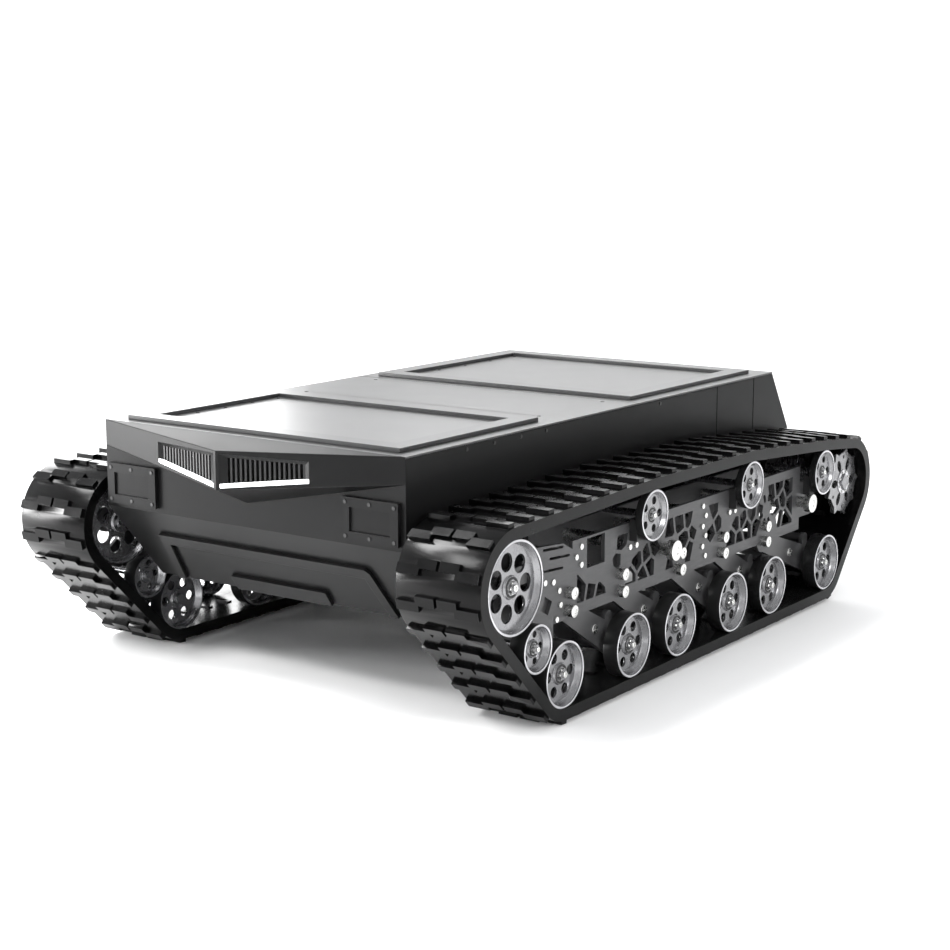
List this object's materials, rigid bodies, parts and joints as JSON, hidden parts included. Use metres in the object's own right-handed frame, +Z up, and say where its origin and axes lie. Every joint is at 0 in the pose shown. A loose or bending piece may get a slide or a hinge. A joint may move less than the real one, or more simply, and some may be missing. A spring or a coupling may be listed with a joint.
{
  "type": "tracked robot chassis",
  "caption": "Rubber-tracked robot chassis with a low armoured hull, sprung road wheels on swing arms, carrier rollers, idlers and rear drive sprockets.",
  "frame": {"origin": "on the ground under the middle of the machine", "axes": "+Z up, -Y forward (the nose), +X the robot's own left side"},
  "size_m": [1.132, 1.626, 0.5127],
  "materials": {
    "hull_paint": "satin black powder coat",
    "deck_paint": "satin dark grey powder coat",
    "panel_dark": "semi-gloss dark panel",
    "grille_black": "matte black",
    "light_white": "white diffuser",
    "anodised": "grey anodised",
    "arm_metal": "grey satin",
    "wheel_alloy": "turned aluminium",
    "zinc": "zinc plated",
    "belt_rubber": "black rubber",
    "black_steel": "black oxide",
    "battery_case": "matte"
  },
  "bodies": {
    "root": {"hull_tub": "hull_paint", "deck_plate": "deck_paint", "hatch_frames": "deck_paint", "hatch_panels": "panel_dark", "nose_cowl": "hull_paint", "front_grilles": "grille_black", "light_bars": "light_white", "access_covers": "hull_paint", "glacis_guard": "hull_paint", "left_outer_plate": "anodised", "right_outer_plate": "anodised", "inner_plates": "anodised", "nose_brackets": "arm_metal", "cross_tubes": "zinc", "tensioner_blocks": "black_steel", "roller_blocks": "black_steel", "frame_bolts": "zinc", "frame_mounts": "black_steel", "left_track_belt": "belt_rubber", "right_track_belt": "belt_rubber", "drive_gearmotors": "black_steel", "battery_pack": "battery_case", "controller_box": "anodised", "small_screws": "zinc"},
    "left_sprocket": {"left_drive_sprocket": "wheel_alloy"},
    "left_fork": {"left_idler_fork": "arm_metal"},
    "left_idler": {"left_idler_wheel": "wheel_alloy"},
    "left_nose": {"left_nose_roller": "wheel_alloy"},
    "left_carrier_1": {"left_carrier_roller_1": "wheel_alloy"},
    "left_carrier_2": {"left_carrier_roller_2": "wheel_alloy"},
    "left_carrier_3": {"left_carrier_roller_3": "wheel_alloy"},
    "left_wheel_1": {"left_road_wheel_1": "wheel_alloy"},
    "left_arm_2_body": {"left_arm_2": "arm_metal"},
    "left_wheel_2": {"left_road_wheel_2": "wheel_alloy"},
    "left_arm_3_body": {"left_arm_3": "arm_metal"},
    "left_wheel_3": {"left_road_wheel_3": "wheel_alloy"},
    "left_arm_4_body": {"left_arm_4": "arm_metal"},
    "left_wheel_4": {"left_road_wheel_4": "wheel_alloy"},
    "left_arm_5_body": {"left_arm_5": "arm_metal"},
    "left_wheel_5": {"left_road_wheel_5": "wheel_alloy"},
    "left_arm_6_body": {"left_arm_6": "arm_metal"},
    "left_wheel_6": {"left_road_wheel_6": "wheel_alloy"},
    "right_sprocket": {"right_drive_sprocket": "wheel_alloy"},
    "right_fork": {"right_idler_fork": "arm_metal"},
    "right_idler": {"right_idler_wheel": "wheel_alloy"},
    "right_nose": {"right_nose_roller": "wheel_alloy"},
    "right_carrier_1": {"right_carrier_roller_1": "wheel_alloy"},
    "right_carrier_2": {"right_carrier_roller_2": "wheel_alloy"},
    "right_carrier_3": {"right_carrier_roller_3": "wheel_alloy"},
    "right_wheel_1": {"right_road_wheel_1": "wheel_alloy"},
    "right_arm_2_body": {"right_arm_2": "arm_metal"},
    "right_wheel_2": {"right_road_wheel_2": "wheel_alloy"},
    "right_arm_3_body": {"right_arm_3": "arm_metal"},
    "right_wheel_3": {"right_road_wheel_3": "wheel_alloy"},
    "right_arm_4_body": {"right_arm_4": "arm_metal"},
    "right_wheel_4": {"right_road_wheel_4": "wheel_alloy"},
    "right_arm_5_body": {"right_arm_5": "arm_metal"},
    "right_wheel_5": {"right_road_wheel_5": "wheel_alloy"},
    "right_arm_6_body": {"right_arm_6": "arm_metal"},
    "right_wheel_6": {"right_road_wheel_6": "wheel_alloy"}
  },
  "joints": [
    {"name": "left_drive", "type": "hinge", "parent": "root", "child": "left_sprocket", "pos_m": [0.476, 0.702, 0.259], "axis": [1, 0, 0], "continuous": true},
    {"name": "left_tension", "type": "slide", "parent": "root", "child": "left_fork", "axis": [0, 1, 0], "range_m": [0, 0.012]},
    {"name": "left_idler_spin", "type": "hinge", "parent": "left_fork", "child": "left_idler", "pos_m": [0.476, -0.672, 0.2865], "axis": [1, 0, 0], "continuous": true},
    {"name": "left_nose_spin", "type": "hinge", "parent": "root", "child": "left_nose", "pos_m": [0.476, -0.601, 0.161], "axis": [1, 0, 0], "continuous": true},
    {"name": "left_carrier_1_spin", "type": "hinge", "parent": "root", "child": "left_carrier_1", "pos_m": [0.476, -0.197, 0.334], "axis": [1, 0, 0], "continuous": true},
    {"name": "left_carrier_2_spin", "type": "hinge", "parent": "root", "child": "left_carrier_2", "pos_m": [0.476, 0.208, 0.33], "axis": [1, 0, 0], "continuous": true},
    {"name": "left_carrier_3_spin", "type": "hinge", "parent": "root", "child": "left_carrier_3", "pos_m": [0.476, 0.56, 0.304], "axis": [1, 0, 0], "continuous": true},
    {"name": "left_wheel_1_spin", "type": "hinge", "parent": "root", "child": "left_wheel_1", "pos_m": [0.476, -0.512, 0.0935], "axis": [1, 0, 0], "continuous": true},
    {"name": "left_arm_2_swing", "type": "hinge", "parent": "root", "child": "left_arm_2_body", "pos_m": [0.476, -0.45, 0.195], "axis": [1, 0, 0], "range_deg": [0, 5], "stiffness_Nm_per_rad": 400, "springref_deg": -5.73},
    {"name": "left_wheel_2_spin", "type": "hinge", "parent": "left_arm_2_body", "child": "left_wheel_2", "pos_m": [0.476, -0.27, 0.0935], "axis": [1, 0, 0], "continuous": true},
    {"name": "left_arm_3_swing", "type": "hinge", "parent": "root", "child": "left_arm_3_body", "pos_m": [0.476, -0.269, 0.195], "axis": [1, 0, 0], "range_deg": [0, 5], "stiffness_Nm_per_rad": 400, "springref_deg": -5.73},
    {"name": "left_wheel_3_spin", "type": "hinge", "parent": "left_arm_3_body", "child": "left_wheel_3", "pos_m": [0.476, -0.089, 0.0935], "axis": [1, 0, 0], "continuous": true},
    {"name": "left_arm_4_swing", "type": "hinge", "parent": "root", "child": "left_arm_4_body", "pos_m": [0.476, -0.046, 0.195], "axis": [1, 0, 0], "range_deg": [0, 5], "stiffness_Nm_per_rad": 400, "springref_deg": -5.73},
    {"name": "left_wheel_4_spin", "type": "hinge", "parent": "left_arm_4_body", "child": "left_wheel_4", "pos_m": [0.476, 0.134, 0.0935], "axis": [1, 0, 0], "continuous": true},
    {"name": "left_arm_5_swing", "type": "hinge", "parent": "root", "child": "left_arm_5_body", "pos_m": [0.476, 0.135, 0.195], "axis": [1, 0, 0], "range_deg": [0, 5], "stiffness_Nm_per_rad": 400, "springref_deg": -5.73},
    {"name": "left_wheel_5_spin", "type": "hinge", "parent": "left_arm_5_body", "child": "left_wheel_5", "pos_m": [0.476, 0.315, 0.0935], "axis": [1, 0, 0], "continuous": true},
    {"name": "left_arm_6_swing", "type": "hinge", "parent": "root", "child": "left_arm_6_body", "pos_m": [0.476, 0.33, 0.184], "axis": [1, 0, 0], "range_deg": [0, 5], "stiffness_Nm_per_rad": 400, "springref_deg": -5.73},
    {"name": "left_wheel_6_spin", "type": "hinge", "parent": "left_arm_6_body", "child": "left_wheel_6", "pos_m": [0.476, 0.582, 0.0935], "axis": [1, 0, 0], "continuous": true},
    {"name": "right_drive", "type": "hinge", "parent": "root", "child": "right_sprocket", "pos_m": [-0.476, 0.702, 0.259], "axis": [1, 0, 0], "continuous": true},
    {"name": "right_tension", "type": "slide", "parent": "root", "child": "right_fork", "axis": [0, 1, 0], "range_m": [0, 0.012]},
    {"name": "right_idler_spin", "type": "hinge", "parent": "right_fork", "child": "right_idler", "pos_m": [-0.476, -0.672, 0.2865], "axis": [1, 0, 0], "continuous": true},
    {"name": "right_nose_spin", "type": "hinge", "parent": "root", "child": "right_nose", "pos_m": [-0.476, -0.601, 0.161], "axis": [1, 0, 0], "continuous": true},
    {"name": "right_carrier_1_spin", "type": "hinge", "parent": "root", "child": "right_carrier_1", "pos_m": [-0.476, -0.197, 0.334], "axis": [1, 0, 0], "continuous": true},
    {"name": "right_carrier_2_spin", "type": "hinge", "parent": "root", "child": "right_carrier_2", "pos_m": [-0.476, 0.208, 0.33], "axis": [1, 0, 0], "continuous": true},
    {"name": "right_carrier_3_spin", "type": "hinge", "parent": "root", "child": "right_carrier_3", "pos_m": [-0.476, 0.56, 0.304], "axis": [1, 0, 0], "continuous": true},
    {"name": "right_wheel_1_spin", "type": "hinge", "parent": "root", "child": "right_wheel_1", "pos_m": [-0.476, -0.512, 0.0935], "axis": [1, 0, 0], "continuous": true},
    {"name": "right_arm_2_swing", "type": "hinge", "parent": "root", "child": "right_arm_2_body", "pos_m": [-0.476, -0.45, 0.195], "axis": [1, 0, 0], "range_deg": [0, 5], "stiffness_Nm_per_rad": 400, "springref_deg": -5.73},
    {"name": "right_wheel_2_spin", "type": "hinge", "parent": "right_arm_2_body", "child": "right_wheel_2", "pos_m": [-0.476, -0.27, 0.0935], "axis": [1, 0, 0], "continuous": true},
    {"name": "right_arm_3_swing", "type": "hinge", "parent": "root", "child": "right_arm_3_body", "pos_m": [-0.476, -0.269, 0.195], "axis": [1, 0, 0], "range_deg": [0, 5], "stiffness_Nm_per_rad": 400, "springref_deg": -5.73},
    {"name": "right_wheel_3_spin", "type": "hinge", "parent": "right_arm_3_body", "child": "right_wheel_3", "pos_m": [-0.476, -0.089, 0.0935], "axis": [1, 0, 0], "continuous": true},
    {"name": "right_arm_4_swing", "type": "hinge", "parent": "root", "child": "right_arm_4_body", "pos_m": [-0.476, -0.046, 0.195], "axis": [1, 0, 0], "range_deg": [0, 5], "stiffness_Nm_per_rad": 400, "springref_deg": -5.73},
    {"name": "right_wheel_4_spin", "type": "hinge", "parent": "right_arm_4_body", "child": "right_wheel_4", "pos_m": [-0.476, 0.134, 0.0935], "axis": [1, 0, 0], "continuous": true},
    {"name": "right_arm_5_swing", "type": "hinge", "parent": "root", "child": "right_arm_5_body", "pos_m": [-0.476, 0.135, 0.195], "axis": [1, 0, 0], "range_deg": [0, 5], "stiffness_Nm_per_rad": 400, "springref_deg": -5.73},
    {"name": "right_wheel_5_spin", "type": "hinge", "parent": "right_arm_5_body", "child": "right_wheel_5", "pos_m": [-0.476, 0.315, 0.0935], "axis": [1, 0, 0], "continuous": true},
    {"name": "right_arm_6_swing", "type": "hinge", "parent": "root", "child": "right_arm_6_body", "pos_m": [-0.476, 0.33, 0.184], "axis": [1, 0, 0], "range_deg": [0, 5], "stiffness_Nm_per_rad": 400, "springref_deg": -5.73},
    {"name": "right_wheel_6_spin", "type": "hinge", "parent": "right_arm_6_body", "child": "right_wheel_6", "pos_m": [-0.476, 0.582, 0.0935], "axis": [1, 0, 0], "continuous": true}
  ],
  "couplings": [
    {"joint": "left_idler_spin", "follows": "left_drive", "ratio": 0.93567},
    {"joint": "left_nose_spin", "follows": "left_drive", "ratio": 1.7582},
    {"joint": "left_carrier_1_spin", "follows": "left_drive", "ratio": 1.5842},
    {"joint": "left_carrier_2_spin", "follows": "left_drive", "ratio": 1.5842},
    {"joint": "left_carrier_3_spin", "follows": "left_drive", "ratio": 1.5842},
    {"joint": "left_wheel_1_spin", "follows": "left_drive", "ratio": 1.2698},
    {"joint": "left_wheel_2_spin", "follows": "left_drive", "ratio": 1.2698},
    {"joint": "left_wheel_3_spin", "follows": "left_drive", "ratio": 1.2698},
    {"joint": "left_wheel_4_spin", "follows": "left_drive", "ratio": 1.2698},
    {"joint": "left_wheel_5_spin", "follows": "left_drive", "ratio": 1.2698},
    {"joint": "left_wheel_6_spin", "follows": "left_drive", "ratio": 1.2698},
    {"joint": "right_idler_spin", "follows": "right_drive", "ratio": 0.93567},
    {"joint": "right_nose_spin", "follows": "right_drive", "ratio": 1.7582},
    {"joint": "right_carrier_1_spin", "follows": "right_drive", "ratio": 1.5842},
    {"joint": "right_carrier_2_spin", "follows": "right_drive", "ratio": 1.5842},
    {"joint": "right_carrier_3_spin", "follows": "right_drive", "ratio": 1.5842},
    {"joint": "right_wheel_1_spin", "follows": "right_drive", "ratio": 1.2698},
    {"joint": "right_wheel_2_spin", "follows": "right_drive", "ratio": 1.2698},
    {"joint": "right_wheel_3_spin", "follows": "right_drive", "ratio": 1.2698},
    {"joint": "right_wheel_4_spin", "follows": "right_drive", "ratio": 1.2698},
    {"joint": "right_wheel_5_spin", "follows": "right_drive", "ratio": 1.2698},
    {"joint": "right_wheel_6_spin", "follows": "right_drive", "ratio": 1.2698}
  ]
}
